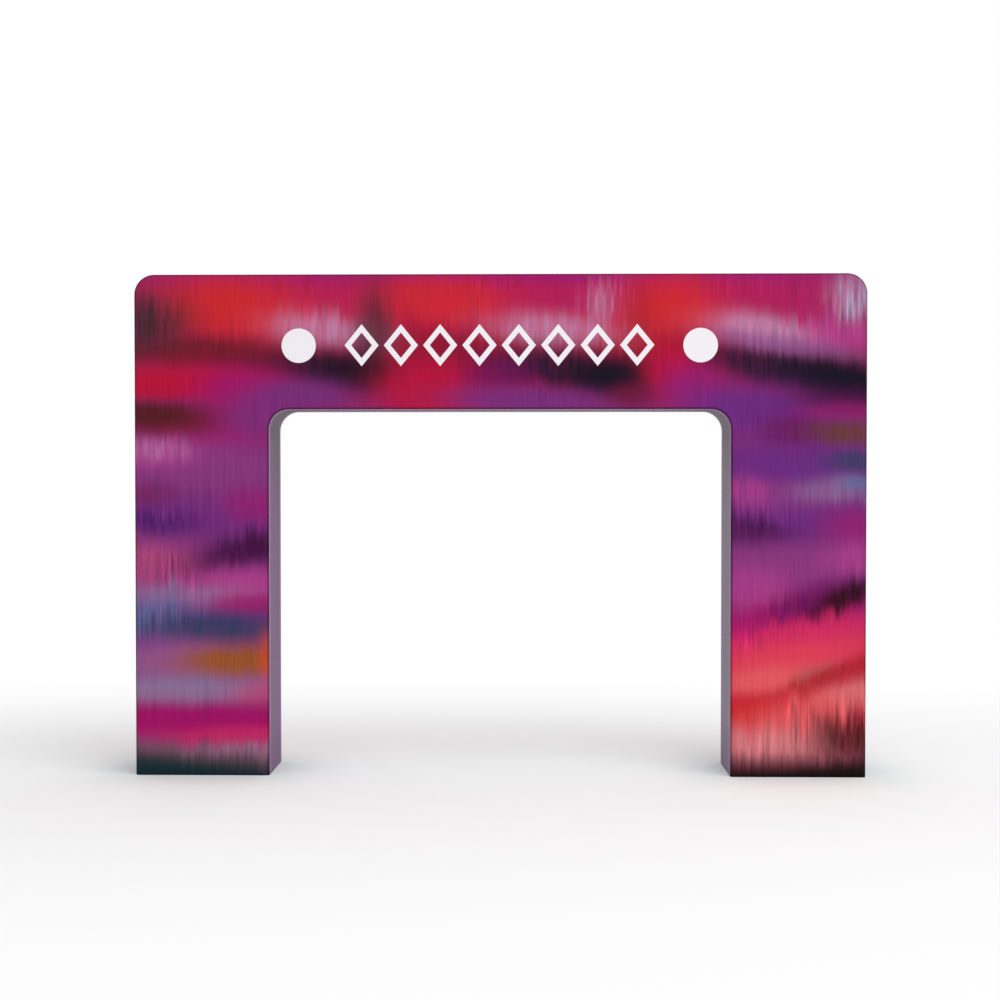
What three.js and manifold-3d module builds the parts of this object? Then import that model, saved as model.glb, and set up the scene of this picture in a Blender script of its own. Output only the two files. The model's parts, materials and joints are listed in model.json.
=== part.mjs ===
// Advertising arch: a printed stretch-cloth cover pulled tight over a frame of round tubes.
//
// Millimetres, +Z up. The arch spans along X and its front faces -Y. The origin is on the
// ground, under the middle of the arch.
//
// The frame is four arch-shaped hoops: an outer and an inner one at the front, and the same
// two at the back. Each panel wraps a quarter of the way round its hoops' tubes and meets the
// bands there, so every piece of cloth is worked out from the hoops' centre lines.

import * as THREE from 'three';
import { mergeVertices, toCreasedNormals } from 'three/addons/utils/BufferGeometryUtils.js';
import Module from 'manifold-3d';

// Driving sizes
const width = 4370;
const height = 3000;
const depth = 450;
const legWidth = 805;
const beamHeight = 805;
const cornerRadius = 120; // of the outline and of the opening, at the cloth's outer face
const clothThickness = 1.5;
const tubeRadius = 15;
const tubeWall = 2;
const rungRadius = 12.5;
const rungWall = 1.5;
const plateThickness = 6;
const pegRadius = 12;
const pegHeight = 50; // above the plate

// Clearances
const touching = 0.3; // between pieces that touch
const clothOverTube = 0.5; // between the cloth's inner face and a tube

// Where the rungs and spacers stand
const legRungHeights = { low: 1050, high: 2000 };
const beamRungPlaces = { far_left: -1200, left: -400, right: 400, far_right: 1200 };
const spacerShift = 2 * rungRadius + 15; // along the hoop, so that a spacer clears its rungs

// How finely round shapes are divided
const bendSteps = 10; // round a quarter turn of a hoop
const wrapSteps = 6; // of the cloth round a quarter of a tube
const tubeSides = 12;
const creaseAngle = THREE.MathUtils.degToRad(40);

// Worked out from the sizes above
const wrapInner = tubeRadius + clothOverTube;
const wrapOuter = wrapInner + clothThickness;
const hoopY = depth / 2 - wrapOuter;

// A hoop's centre line. The cloth lies outside the outer hoop and inside the inner one.
const hoops = {
  outer: {
    halfWidth: width / 2 - wrapOuter,
    top: height - wrapOuter,
    bendRadius: cornerRadius - wrapOuter,
    clothSide: 1,
  },
  inner: {
    halfWidth: width / 2 - legWidth + wrapOuter,
    top: height - beamHeight + wrapOuter,
    bendRadius: cornerRadius + wrapOuter,
    clothSide: -1,
  },
};

const faces = { front: -1, back: 1 };
const ends = { left: -1, right: 1 };
const xAxis = new THREE.Vector3(1, 0, 0);
const yAxis = new THREE.Vector3(0, 1, 0);
const zAxis = new THREE.Vector3(0, 0, 1);

const finishes = {
  print: { color: 0x8e2a6c, roughness: 0.75, metalness: 0 },
  plainCloth: { color: 0x86707f, roughness: 0.8, metalness: 0 },
  tube: { color: 0xb9bcc0, roughness: 0.35, metalness: 1 },
  plate: { color: 0x3a3c3f, roughness: 0.55, metalness: 0.6 },
};

const wasm = await Module();
wasm.setup();

const arch = new THREE.Group();
arch.name = 'advertising_arch';

function add(name, geometry, finish) {
  const creased = toCreasedNormals(geometry, creaseAngle);
  const mesh = new THREE.Mesh(creased, new THREE.MeshStandardMaterial(finish));
  mesh.name = name;
  arch.add(mesh);
  return mesh;
}

// Points along a hoop's centre line from the left foot to the right one. Each has the
// angle of the direction that leads away from the middle of the arch.
function hoopStations({ halfWidth, top, bendRadius }) {
  const stations = [{ x: -halfWidth, z: 0, angle: Math.PI }];
  for (const end of Object.values(ends)) {
    const start = end < 0 ? Math.PI : Math.PI / 2;
    for (let i = 0; i <= bendSteps; i++) {
      const angle = start - (i / bendSteps) * (Math.PI / 2);
      stations.push({
        x: end * (halfWidth - bendRadius) + bendRadius * Math.cos(angle),
        z: top - bendRadius + bendRadius * Math.sin(angle),
        angle,
      });
    }
  }
  stations.push({ x: halfWidth, z: 0, angle: 0 });
  return stations;
}

// A point of the cloth, radius away from the tube's middle. turn is 0 at the seam, where the
// cloth leaves the tube on the hoop's cloth side, and a quarter turn where it lies on the face.
function wrapPoint(hoop, station, face, radius, turn) {
  const sideways = hoop.clothSide * radius * Math.cos(turn);
  return new THREE.Vector3(
    station.x + sideways * Math.cos(station.angle),
    face * (hoopY + radius * Math.sin(turn)),
    station.z + sideways * Math.sin(station.angle),
  );
}

// A closed sheet from one strip of points for each station: the strip on the cloth's outer
// face, in order, and then the strip on its inner face, back again.
function sheetGeometry(strips) {
  const count = strips[0].length;
  const indices = [];
  for (let s = 0; s + 1 < strips.length; s++) {
    for (let i = 0; i < count; i++) {
      const a = s * count + i;
      const b = s * count + ((i + 1) % count);
      indices.push(a, b, b + count, a, b + count, a + count);
    }
  }
  const last = (strips.length - 1) * count;
  for (let i = 0; i + 1 < count / 2; i++) {
    const quad = [i, i + 1, count - 2 - i, count - 1 - i];
    indices.push(quad[0], quad[2], quad[1], quad[0], quad[3], quad[2]);
    const [a, b, c, d] = quad.map((index) => index + last);
    indices.push(a, b, c, a, c, d);
  }
  const geometry = new THREE.BufferGeometry().setFromPoints(strips.flat());
  geometry.setIndex(indices);
  return geometry;
}

// The front panel: flat between the hoops, and round a quarter of each hoop's tube.
function panelGeometry() {
  const outerStations = hoopStations(hoops.outer);
  const innerStations = hoopStations(hoops.inner);
  const towardsFace = Array.from(
    { length: wrapSteps + 1 },
    (_, i) => (i / wrapSteps) * (Math.PI / 2),
  );
  const awayFromFace = [...towardsFace].reverse();
  return sheetGeometry(outerStations.map((outer, i) => {
    const across = (radius) => [
      ...towardsFace.map((turn) => wrapPoint(hoops.outer, outer, faces.front, radius, turn)),
      ...awayFromFace.map((turn) =>
        wrapPoint(hoops.inner, innerStations[i], faces.front, radius, turn)),
    ];
    return [...across(wrapOuter), ...across(wrapInner).reverse()];
  }));
}

// A band: a strip straight across from the front panel's edge to the back panel's.
function bandGeometry(hoop) {
  const edges = [hoop.clothSide, -hoop.clothSide].map((side) => side * (hoopY - touching));
  return sheetGeometry(hoopStations(hoop).map((station) => {
    const across = (radius) =>
      edges.map((y) => wrapPoint(hoop, station, 0, radius, 0).setY(y));
    return [...across(wrapOuter), ...across(wrapInner).reverse()];
  }));
}

function ringShape(radius, wall) {
  const ring = new THREE.Shape().absarc(0, 0, radius, 0, 2 * Math.PI);
  ring.holes.push(new THREE.Path().absarc(0, 0, radius - wall, 0, 2 * Math.PI));
  return ring;
}

const tubeOptions = { curveSegments: tubeSides / 2, bevelEnabled: false };

// A straight tube from the origin along +Z.
function straightTube(radius, wall, length) {
  const options = { ...tubeOptions, steps: 1, depth: length };
  return new THREE.ExtrudeGeometry(ringShape(radius, wall), options);
}

// A quarter circle in the XZ plane, clockwise from the start angle.
class QuarterTurn extends THREE.Curve {
  constructor(centreX, centreZ, radius, startAngle) {
    super();
    Object.assign(this, { centreX, centreZ, radius, startAngle });
  }

  getPoint(t, target = new THREE.Vector3()) {
    const angle = this.startAngle - (t * Math.PI) / 2;
    return target.set(
      this.centreX + this.radius * Math.cos(angle),
      0,
      this.centreZ + this.radius * Math.sin(angle),
    );
  }
}

// The five lengths of one hoop: two uprights, two bends and the rail between them.
function addHoop(hoopName, faceName) {
  const { halfWidth, top, bendRadius } = hoops[hoopName];
  const y = faces[faceName] * hoopY;
  const prefix = `${hoopName}_${faceName}`;
  const foot = plateThickness + touching;
  const straightX = halfWidth - bendRadius;
  const straightZ = top - bendRadius;

  for (const [endName, end] of Object.entries(ends)) {
    const uprightLength = straightZ - touching - foot;
    const upright = straightTube(tubeRadius, tubeWall, uprightLength);
    add(`${prefix}_${endName}_upright`, upright, finishes.tube)
      .position.set(end * halfWidth, y, foot);

    const startAngle = end < 0 ? Math.PI : Math.PI / 2;
    const path = new QuarterTurn(end * straightX, straightZ, bendRadius, startAngle);
    const options = { ...tubeOptions, steps: bendSteps, extrudePath: path };
    const bend = new THREE.ExtrudeGeometry(ringShape(tubeRadius, tubeWall), options);
    add(`${prefix}_${endName}_bend`, bend, finishes.tube).position.y = y;
  }

  const railLength = 2 * (straightX - touching);
  const rail = add(`${prefix}_rail`, straightTube(tubeRadius, tubeWall, railLength), finishes.tube);
  rail.position.set(-railLength / 2, y, top);
  rail.rotation.y = Math.PI / 2;
}

// A tube between two parallel hoop tubes whose middles lie span apart. Each end is coped: it
// reaches further beside the hoop tube's crest, so that it sits against its round side.
function copedTube(span) {
  const reach = tubeRadius + touching;
  const length = span - 2 * reach;
  const geometry = straightTube(rungRadius, rungWall, length);
  const position = geometry.getAttribute('position');
  for (let i = 0; i < position.count; i++) {
    const offset = position.getX(i);
    const further = reach - Math.sqrt(reach * reach - offset * offset);
    const z = position.getZ(i);
    position.setZ(i, z < length / 2 ? -further : length + further);
  }
  return geometry.translate(0, 0, -length / 2);
}

// A coped tube about its middle, along one axis, between hoop tubes that run along another.
function addRung(name, middle, along, span, hoopTubesAlong) {
  const rung = add(name, copedTube(span), finishes.tube);
  rung.position.copy(middle);
  const across = new THREE.Vector3().crossVectors(hoopTubesAlong, along);
  const basis = new THREE.Matrix4().makeBasis(across, hoopTubesAlong, along);
  rung.quaternion.setFromRotationMatrix(basis);
}

const depthSpan = 2 * hoopY;

// In a leg, rungs run from the inner uprights to the outer ones, and spacers front to back.
function addLegRungs(endName, levelName) {
  const prefix = `${endName}_leg_${levelName}`;
  const z = legRungHeights[levelName];
  const { outer, inner } = hoops;
  const middleX = ends[endName] * (outer.halfWidth + inner.halfWidth) / 2;
  const span = outer.halfWidth - inner.halfWidth;
  for (const [faceName, face] of Object.entries(faces)) {
    const middle = new THREE.Vector3(middleX, face * hoopY, z);
    addRung(`${prefix}_${faceName}_rung`, middle, xAxis, span, zAxis);
  }
  for (const [hoopName, { halfWidth }] of Object.entries(hoops)) {
    const middle = new THREE.Vector3(ends[endName] * halfWidth, 0, z + spacerShift);
    addRung(`${prefix}_${hoopName}_spacer`, middle, yAxis, depthSpan, zAxis);
  }
}

// In the beam, rungs run from the inner rails up to the outer ones, and spacers front to back.
function addBeamRungs(placeName) {
  const prefix = `beam_${placeName}`;
  const x = beamRungPlaces[placeName];
  const { outer, inner } = hoops;
  const span = outer.top - inner.top;
  for (const [faceName, face] of Object.entries(faces)) {
    const middle = new THREE.Vector3(x, face * hoopY, (outer.top + inner.top) / 2);
    addRung(`${prefix}_${faceName}_rung`, middle, zAxis, span, xAxis);
  }
  for (const [hoopName, { top }] of Object.entries(hoops)) {
    const middle = new THREE.Vector3(x + Math.sign(x) * spacerShift, 0, top);
    addRung(`${prefix}_${hoopName}_spacer`, middle, yAxis, depthSpan, xAxis);
  }
}

function toSolid(geometry) {
  const bare = new THREE.BufferGeometry();
  bare.setAttribute('position', geometry.getAttribute('position'));
  bare.setIndex(geometry.getIndex());
  const merged = mergeVertices(bare);
  return new wasm.Manifold(new wasm.Mesh({
    numProp: 3,
    vertProperties: new Float32Array(merged.getAttribute('position').array),
    triVerts: new Uint32Array(merged.getIndex().array),
  }));
}

function toGeometry(solid) {
  const { vertProperties, triVerts } = solid.getMesh();
  const geometry = new THREE.BufferGeometry();
  geometry.setAttribute('position', new THREE.BufferAttribute(vertProperties, 3));
  geometry.setIndex(new THREE.BufferAttribute(triVerts, 1));
  return geometry;
}

// A flat plate that fills the foot of a leg, with a peg inside each of its four uprights.
function addBasePlate(endName) {
  const halfX = (hoops.outer.halfWidth - hoops.inner.halfWidth) / 2;
  const corners = [
    { x: halfX, y: hoopY, start: 0 },
    { x: -halfX, y: hoopY, start: Math.PI / 2 },
    { x: -halfX, y: -hoopY, start: Math.PI },
    { x: halfX, y: -hoopY, start: (3 * Math.PI) / 2 },
  ];
  const outline = new THREE.Shape();
  for (const { x, y, start } of corners) {
    outline.absarc(x, y, tubeRadius, start, start + Math.PI / 2);
  }
  const options = { depth: plateThickness, curveSegments: wrapSteps, bevelEnabled: false };
  let solid = toSolid(new THREE.ExtrudeGeometry(outline, options));
  const pegLength = plateThickness + pegHeight;
  for (const { x, y } of corners) {
    const peg = new THREE.CylinderGeometry(pegRadius, pegRadius, pegLength, tubeSides);
    peg.rotateX(Math.PI / 2).translate(x, y, pegLength / 2);
    solid = solid.add(toSolid(peg));
  }
  add(`${endName}_base_plate`, toGeometry(solid), finishes.plate)
    .position.x = ends[endName] * (hoops.inner.halfWidth + halfX);
}

// The cover. The back panel is the front one turned half round.
add('front_panel', panelGeometry(), finishes.print);
add('back_panel', panelGeometry(), finishes.print).rotation.z = Math.PI;
add('outer_band', bandGeometry(hoops.outer), finishes.plainCloth);
add('inner_band', bandGeometry(hoops.inner), finishes.plainCloth);

// The frame
for (const hoopName of Object.keys(hoops)) {
  for (const faceName of Object.keys(faces)) addHoop(hoopName, faceName);
}
for (const endName of Object.keys(ends)) {
  addBasePlate(endName);
  for (const levelName of Object.keys(legRungHeights)) addLegRungs(endName, levelName);
}
for (const placeName of Object.keys(beamRungPlaces)) addBeamRungs(placeName);

export default arch;
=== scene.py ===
import json
import math
import bmesh
import bpy
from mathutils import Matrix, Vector


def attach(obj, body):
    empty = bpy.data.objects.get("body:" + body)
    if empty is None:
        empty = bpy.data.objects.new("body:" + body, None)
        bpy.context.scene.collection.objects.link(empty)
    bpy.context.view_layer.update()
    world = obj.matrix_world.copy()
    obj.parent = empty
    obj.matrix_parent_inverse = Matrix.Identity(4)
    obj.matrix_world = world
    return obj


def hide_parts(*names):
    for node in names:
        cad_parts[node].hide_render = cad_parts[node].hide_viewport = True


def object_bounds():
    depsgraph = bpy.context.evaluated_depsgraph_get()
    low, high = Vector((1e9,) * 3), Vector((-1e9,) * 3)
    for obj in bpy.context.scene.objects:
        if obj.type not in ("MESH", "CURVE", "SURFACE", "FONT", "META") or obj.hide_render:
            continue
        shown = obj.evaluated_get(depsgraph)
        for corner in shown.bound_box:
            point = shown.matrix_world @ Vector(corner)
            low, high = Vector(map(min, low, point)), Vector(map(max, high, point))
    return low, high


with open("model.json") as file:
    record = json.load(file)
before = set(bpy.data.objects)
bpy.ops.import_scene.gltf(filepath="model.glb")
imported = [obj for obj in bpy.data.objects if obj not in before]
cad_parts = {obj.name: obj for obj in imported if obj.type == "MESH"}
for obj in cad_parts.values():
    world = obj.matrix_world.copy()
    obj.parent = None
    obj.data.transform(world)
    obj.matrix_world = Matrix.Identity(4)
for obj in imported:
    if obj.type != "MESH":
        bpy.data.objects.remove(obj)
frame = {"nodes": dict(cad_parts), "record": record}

cadLow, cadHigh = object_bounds()

# The arch's own sizes, in metres.
arch = {
    "halfWidth": 2.185,
    "top": 3.0,
    "legWidth": 0.805,
    "beamHeight": 0.805,
    "corner": 0.12,
    "wrap": 0.017,  # from the middle of a tube to the cloth's outer face
    "cloth": 0.0015,
    "gap": 0.0003,
}
halfDepth = cadHigh.y
hoopY = halfDepth - arch["wrap"]
outerHoop = {
    "halfWidth": arch["halfWidth"] - arch["wrap"],
    "top": arch["top"] - arch["wrap"],
    "bend": arch["corner"] - arch["wrap"],
    "clothSide": 1,
}
innerHoop = {
    "halfWidth": arch["halfWidth"] - arch["legWidth"] + arch["wrap"],
    "top": arch["top"] - arch["beamHeight"] + arch["wrap"],
    "bend": arch["corner"] + arch["wrap"],
    "clothSide": -1,
}


# Nodes and colours

def dyeColour(text):
    channels = [int(text[i:i + 2], 16) / 255 for i in (0, 2, 4)]
    linear = [c / 12.92 if c <= 0.04045 else ((c + 0.055) / 1.055) ** 2.4 for c in channels]
    return (*linear, 1.0)


def addNode(tree, kind, inputs=None, **settings):
    node = tree.nodes.new(kind)
    for name, value in settings.items():
        setattr(node, name, value)
    for key, value in (inputs or {}).items():
        if isinstance(value, bpy.types.NodeSocket):
            tree.links.new(value, node.inputs[key])
        else:
            node.inputs[key].default_value = value
    return node


def maths(tree, operation, *values):
    return addNode(tree, "ShaderNodeMath", dict(enumerate(values)), operation=operation).outputs[0]


def vectorMaths(tree, operation, *values):
    node = addNode(tree, "ShaderNodeVectorMath", dict(enumerate(values)), operation=operation)
    return node.outputs["Value" if operation == "LENGTH" else "Vector"]


def ramp(tree, value, low, high, fromLow=0.0, toHigh=1.0):
    node = addNode(tree, "ShaderNodeMapRange", {0: value, 1: low, 2: high, 3: fromLow, 4: toHigh},
                   interpolation_type="SMOOTHSTEP")
    return node.outputs[0]


def mixColour(tree, factor, first, second, blend="MIX"):
    node = addNode(tree, "ShaderNodeMix", {0: factor, 6: first, 7: second},
                   data_type="RGBA", blend_type=blend)
    return node.outputs[2]


def newGroup(name, kind, inputs, outputs):
    tree = bpy.data.node_groups.new(name, kind)
    for label, socketType, *value in inputs:
        socket = tree.interface.new_socket(label, in_out="INPUT", socket_type=socketType)
        if value:
            socket.default_value = value[0]
    for label, socketType in outputs:
        tree.interface.new_socket(label, in_out="OUTPUT", socket_type=socketType)
    return tree, tree.nodes.new("NodeGroupInput").outputs, tree.nodes.new("NodeGroupOutput").inputs


def addNoise(tree, place, scale, detail, roughness=0.5, dimensions="3D"):
    return addNode(tree, "ShaderNodeTexNoise",
                   {"Vector": place, "Scale": scale, "Detail": detail, "Roughness": roughness},
                   noise_dimensions=dimensions).outputs


def addBump(tree, shader, height, strength, distance):
    bump = addNode(tree, "ShaderNodeBump", {"Strength": strength, "Distance": distance, "Height": height})
    tree.links.new(bump.outputs[0], shader.inputs["Normal"])


def scaleColour(tree, shown, factor):
    return addNode(tree, "ShaderNodeVectorMath", {0: shown, "Scale": factor}, operation="SCALE").outputs[0]


def placeGroup(tree, group, inputs):
    return addNode(tree, "ShaderNodeGroup", inputs, node_tree=group).outputs


def emptyTree(owner):
    owner.use_nodes = True
    owner.node_tree.nodes.clear()
    return owner.node_tree


def newMaterial(name):
    material = bpy.data.materials.new(name)
    tree = emptyTree(material)
    shader = tree.nodes.new("ShaderNodeBsdfPrincipled")
    addNode(tree, "ShaderNodeOutputMaterial", {0: shader.outputs[0]})
    return material, tree, shader


number, vector, colour = "NodeSocketFloat", "NodeSocketVector", "NodeSocketColor"


# Wide and high multiply the print's columns per metre and its lengths, shift is where the noise
# starts, and level is half the share of a column that keeps one tone.
columnSets = {
    "broad": {"wide": 0.4, "high": 0.8, "shift": 3.1, "detail": 0.0, "level": 0.1},
    "middle": {"wide": 1.0, "high": 1.0, "shift": 7.7, "detail": 0.0, "level": 0.3},
    "fine": {"wide": 2.6, "high": 1.3, "shift": 21.9, "detail": 1.0, "level": 0.3},
    "threads": {"wide": 1.2, "high": 0.9, "shift": 12.4, "detail": 1.0, "level": 0.3},
}

columnLook = {
    "crowdingScale": 16.0,
    "crowding": 0.05,  # how unevenly the columns are spaced
    "stagger": 0.37,  # keeps the samples off the lattice of the noise
    "calmScale": 3.4,
    "calm": (0.36, 0.66),
    "restless": (0.5, 1.8),  # how much the columns show in calm and in restless places
    "comb": (0.6, 0.9, 0.6),  # shares of broad, middle and fine
    "shade": (0.0, 0.18, 0.36),
    "threads": (0.42, 0.62),
}


# Columns of dye that ran up and down: how far each column is pushed, and where pale threads show.
def makeColumnGroup():
    tree, given, out = newGroup("dyeColumns", "ShaderNodeTree",
                                [("Place", vector), ("Columns Per Metre", number),
                                 ("Column Length", number), ("Streaked", number)],
                                [("Comb", number), ("Threads", number), ("Shade", number)])
    tall = maths(tree, "DIVIDE", 1.0, given["Column Length"])
    at = addNode(tree, "ShaderNodeSeparateXYZ", {0: given["Place"]}).outputs
    crowding = addNode(tree, "ShaderNodeTexNoise",
                       {"W": at[0], "Scale": columnLook["crowdingScale"], "Detail": 1.0},
                       noise_dimensions="1D").outputs[0]
    uneven = maths(tree, "MULTIPLY_ADD", crowding, columnLook["crowding"], at[0])
    stagger = columnLook["stagger"]

    # A column keeps one tone across its middle, and its sides stay upright.
    def columns(wide, high, shift, detail, level):
        across = maths(tree, "MULTIPLY", given["Columns Per Metre"], wide)
        across = maths(tree, "MULTIPLY_ADD", uneven, across, shift)
        stepped = maths(tree, "ADD", maths(tree, "FLOOR", across),
                        ramp(tree, maths(tree, "FRACT", across), level, 1.0 - level, stagger, 1.0 + stagger))
        up = maths(tree, "MULTIPLY_ADD", at[1], maths(tree, "MULTIPLY", tall, high), shift * stagger)
        place = addNode(tree, "ShaderNodeCombineXYZ", {0: stepped, 1: up}).outputs[0]
        return addNoise(tree, place, 1.0, detail, 0.6, "2D")[0]

    drawn = [columns(**columnSets[name]) for name in ("broad", "middle", "fine")]
    calm = addNoise(tree, given["Place"], columnLook["calmScale"], 1.0, dimensions="2D")[0]
    restless = maths(tree, "MULTIPLY", given["Streaked"],
                     ramp(tree, calm, *columnLook["calm"], *columnLook["restless"]))

    def blend(shares):
        total = -sum(shares) / 2
        for share, column in zip(shares, drawn):
            total = maths(tree, "MULTIPLY_ADD", column, share, total)
        return maths(tree, "MULTIPLY", total, restless)

    tree.links.new(blend(columnLook["comb"]), out["Comb"])
    tree.links.new(blend(columnLook["shade"]), out["Shade"])
    threads = ramp(tree, columns(**columnSets["threads"]), *columnLook["threads"])
    tree.links.new(threads, out["Threads"])
    return tree


patchFirmness = 1.5


# Full in the middle of a patch, about 0.4 at its half width and half height, and soft beyond.
def softPatch(tree, side, rise):
    reach = maths(tree, "MULTIPLY_ADD", rise, rise, maths(tree, "MULTIPLY", side, side))
    fallen = maths(tree, "EXPONENT", maths(tree, "MULTIPLY", reach, -patchFirmness))
    bare = maths(tree, "SUBTRACT", 1.0, fallen)
    return maths(tree, "MULTIPLY_ADD", bare, maths(tree, "MULTIPLY", bare, -1.0), 1.0)


# A place where the columns show more than round it.
def makeStreakedPlaceGroup():
    tree, given, out = newGroup("streakedPlace", "ShaderNodeTree",
                                [("Round It", number), ("Across", number), ("Up", number),
                                 ("X", number), ("Z", number), ("Half Width", number),
                                 ("Half Height", number), ("Most", number)],
                                [("Streaked", number)])
    side = maths(tree, "DIVIDE", maths(tree, "SUBTRACT", given["Across"], given["X"]), given["Half Width"])
    rise = maths(tree, "DIVIDE", maths(tree, "SUBTRACT", given["Up"], given["Z"]), given["Half Height"])
    here = maths(tree, "MULTIPLY", softPatch(tree, side, rise), given["Most"])
    tree.links.new(maths(tree, "MAXIMUM", given["Round It"], here), out["Streaked"])
    return tree


# One soft patch of dye over what lies under it, with its upper and lower edge combed by the columns.
def makePatchGroup():
    tree, given, out = newGroup("dyePatch", "ShaderNodeTree",
                                [("Under", colour), ("Dye", colour), ("Across", number), ("Up", number),
                                 ("Comb", number), ("Threads", number), ("X", number), ("Z", number),
                                 ("Half Width", number), ("Half Height", number),
                                 ("Slope", number), ("Combed", number), ("Threaded", number),
                                 ("Strength", number)],
                                [("Colour", colour)])
    wide = maths(tree, "DIVIDE", 1.0, given["Half Width"])
    tall = maths(tree, "DIVIDE", 1.0, given["Half Height"])
    fromX = maths(tree, "MULTIPLY", maths(tree, "MULTIPLY", given["X"], wide), -1.0)
    lift = maths(tree, "MULTIPLY", maths(tree, "MULTIPLY", given["Slope"], tall), -1.0)
    fromZ = maths(tree, "SUBTRACT", maths(tree, "MULTIPLY", lift, maths(tree, "MULTIPLY", given["X"], -1.0)),
                  maths(tree, "MULTIPLY", given["Z"], tall))
    side = maths(tree, "MULTIPLY_ADD", given["Across"], wide, fromX)
    rise = maths(tree, "MULTIPLY_ADD", given["Up"], tall, fromZ)
    rise = maths(tree, "MULTIPLY_ADD", given["Across"], lift, rise)
    rise = maths(tree, "MULTIPLY_ADD", given["Comb"], maths(tree, "MULTIPLY", given["Combed"], tall), rise)
    shown = maths(tree, "MULTIPLY", given["Strength"], given["Threaded"])
    most = maths(tree, "SUBTRACT", given["Strength"], shown)
    mask = maths(tree, "MULTIPLY", softPatch(tree, side, rise),
                 maths(tree, "MULTIPLY_ADD", given["Threads"], shown, most))
    tree.links.new(mixColour(tree, mask, given["Under"], given["Dye"]), out["Colour"])
    return tree


knitLook = {
    "ribs": 0.65,
    "loops": 0.2,
    "loopBow": 1.4,  # how far the loops bow between two ribs
    "cloudScale": 14.0,
    "bumpDistance": 0.0004,
    "mottled": (0.3, 0.7),
}


# Fine loops of warp knit, with the slight unevenness of a printed length.
def makeKnitGroup():
    tree, given, out = newGroup("warpKnit", "ShaderNodeTree",
                                [("Place", vector), ("Loop Width", number, 0.0011),
                                 ("Loop Height", number, 0.0014)],
                                [("Height", number), ("Mottle", number)])
    at = addNode(tree, "ShaderNodeSeparateXYZ", {0: given["Place"]}).outputs
    wale = maths(tree, "MULTIPLY", maths(tree, "DIVIDE", at[0], given["Loop Width"]), math.pi)
    course = maths(tree, "MULTIPLY", maths(tree, "DIVIDE", at[1], given["Loop Height"]), 2 * math.pi)
    ribs = maths(tree, "ABSOLUTE", maths(tree, "SINE", wale))
    bowed = maths(tree, "ADD", course, maths(tree, "MULTIPLY", ribs, knitLook["loopBow"]))
    loops = maths(tree, "MULTIPLY", maths(tree, "SINE", bowed), knitLook["loops"])
    height = maths(tree, "ADD", maths(tree, "MULTIPLY", ribs, knitLook["ribs"]), loops)
    tree.links.new(height, out["Height"])
    cloud = addNoise(tree, given["Place"], knitLook["cloudScale"], 3.0, 0.6, "2D")[0]
    tree.links.new(cloud, out["Mottle"])
    return tree


# Roughness, bump and gloss of a knitted cloth.
def finishCloth(tree, shader, knit, look):
    rough = ramp(tree, knit["Mottle"], *knitLook["mottled"], *look["roughness"])
    tree.links.new(rough, shader.inputs["Roughness"])
    addBump(tree, shader, knit["Height"], look["bump"], knitLook["bumpDistance"])
    shader.inputs["Specular IOR Level"].default_value = look["gloss"]
    shader.inputs["Sheen Weight"].default_value = look["sheen"]


dyeColumns = makeColumnGroup()
streakedPlace = makeStreakedPlaceGroup()
dyePatch = makePatchGroup()
warpKnit = makeKnitGroup()

dyes = {name: dyeColour(text) for name, text in {
    "magenta": "961868", "hotMagenta": "AC1A54", "strongMagenta": "9E0E62", "purple": "742C76",
    "rosePurple": "86367A", "violet": "66287C", "deepViolet": "481864", "berry": "641058",
    "plum": "420E3E", "maroon": "300A1A", "wine": "6E1430", "brown": "4E1A1C", "red": "CA2629",
    "darkRed": "A8202A", "crimson": "B41036", "rose": "CC2860", "redRose": "DA3C56",
    "coral": "E05A5E", "paleCoral": "DA8084", "dustyPink": "A84474", "pink": "AC3E88",
    "paleMauve": "BE8AB2", "mauve": "945490", "greyMauve": "8A7096", "slate": "323A5E",
    "slateBlue": "5A6A9A", "sand": "9A5C54", "orange": "985226", "brightOrange": "D84A22",
    "navy": "1C1430", "night": "140F1E", "ink": "152E33", "soot": "160C10", "paleBlue": "A8A8C8",
    "smoke": "382630", "olive": "643828", "brownRed": "6C1820", "greyPink": "8A5A70",
}.items()}

printDesign = {
    "ground": "purple",
    "columnsPerMetre": 34.0,
    "columnLength": 0.42,
    "drift": 0.04,  # how far the broad shapes wander
    "driftScale": 2.2,
    "mottle": 0.05,
    # Painted shade: the cloth is darkened towards each seam, over the rounded edge where it turns round a
    # tube.
    "paintedEdgeShade": (0.012, 0.026, 0.45, 1.0),  # two distances from a seam, and the tone at each
    "roughness": (0.70, 0.80),
    "bump": 0.25,
    "gloss": 0.06,
    "sheen": 0.02,
    "white": (0.86, 0.83, 0.87, 1.0),
    "markEdge": 0.001,  # half the width over which a white mark's edge fades
    "discs": {"x": 1.197, "z": 2.574, "radius": 0.1025},
    "lozenges": {"count": 8, "z": 2.576, "pitch": 0.2345, "halfWidth": 0.102,
                 "halfHeight": 0.125, "stroke": 0.031},
    "streaked": 0.45,  # how much the columns show elsewhere
}

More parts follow.
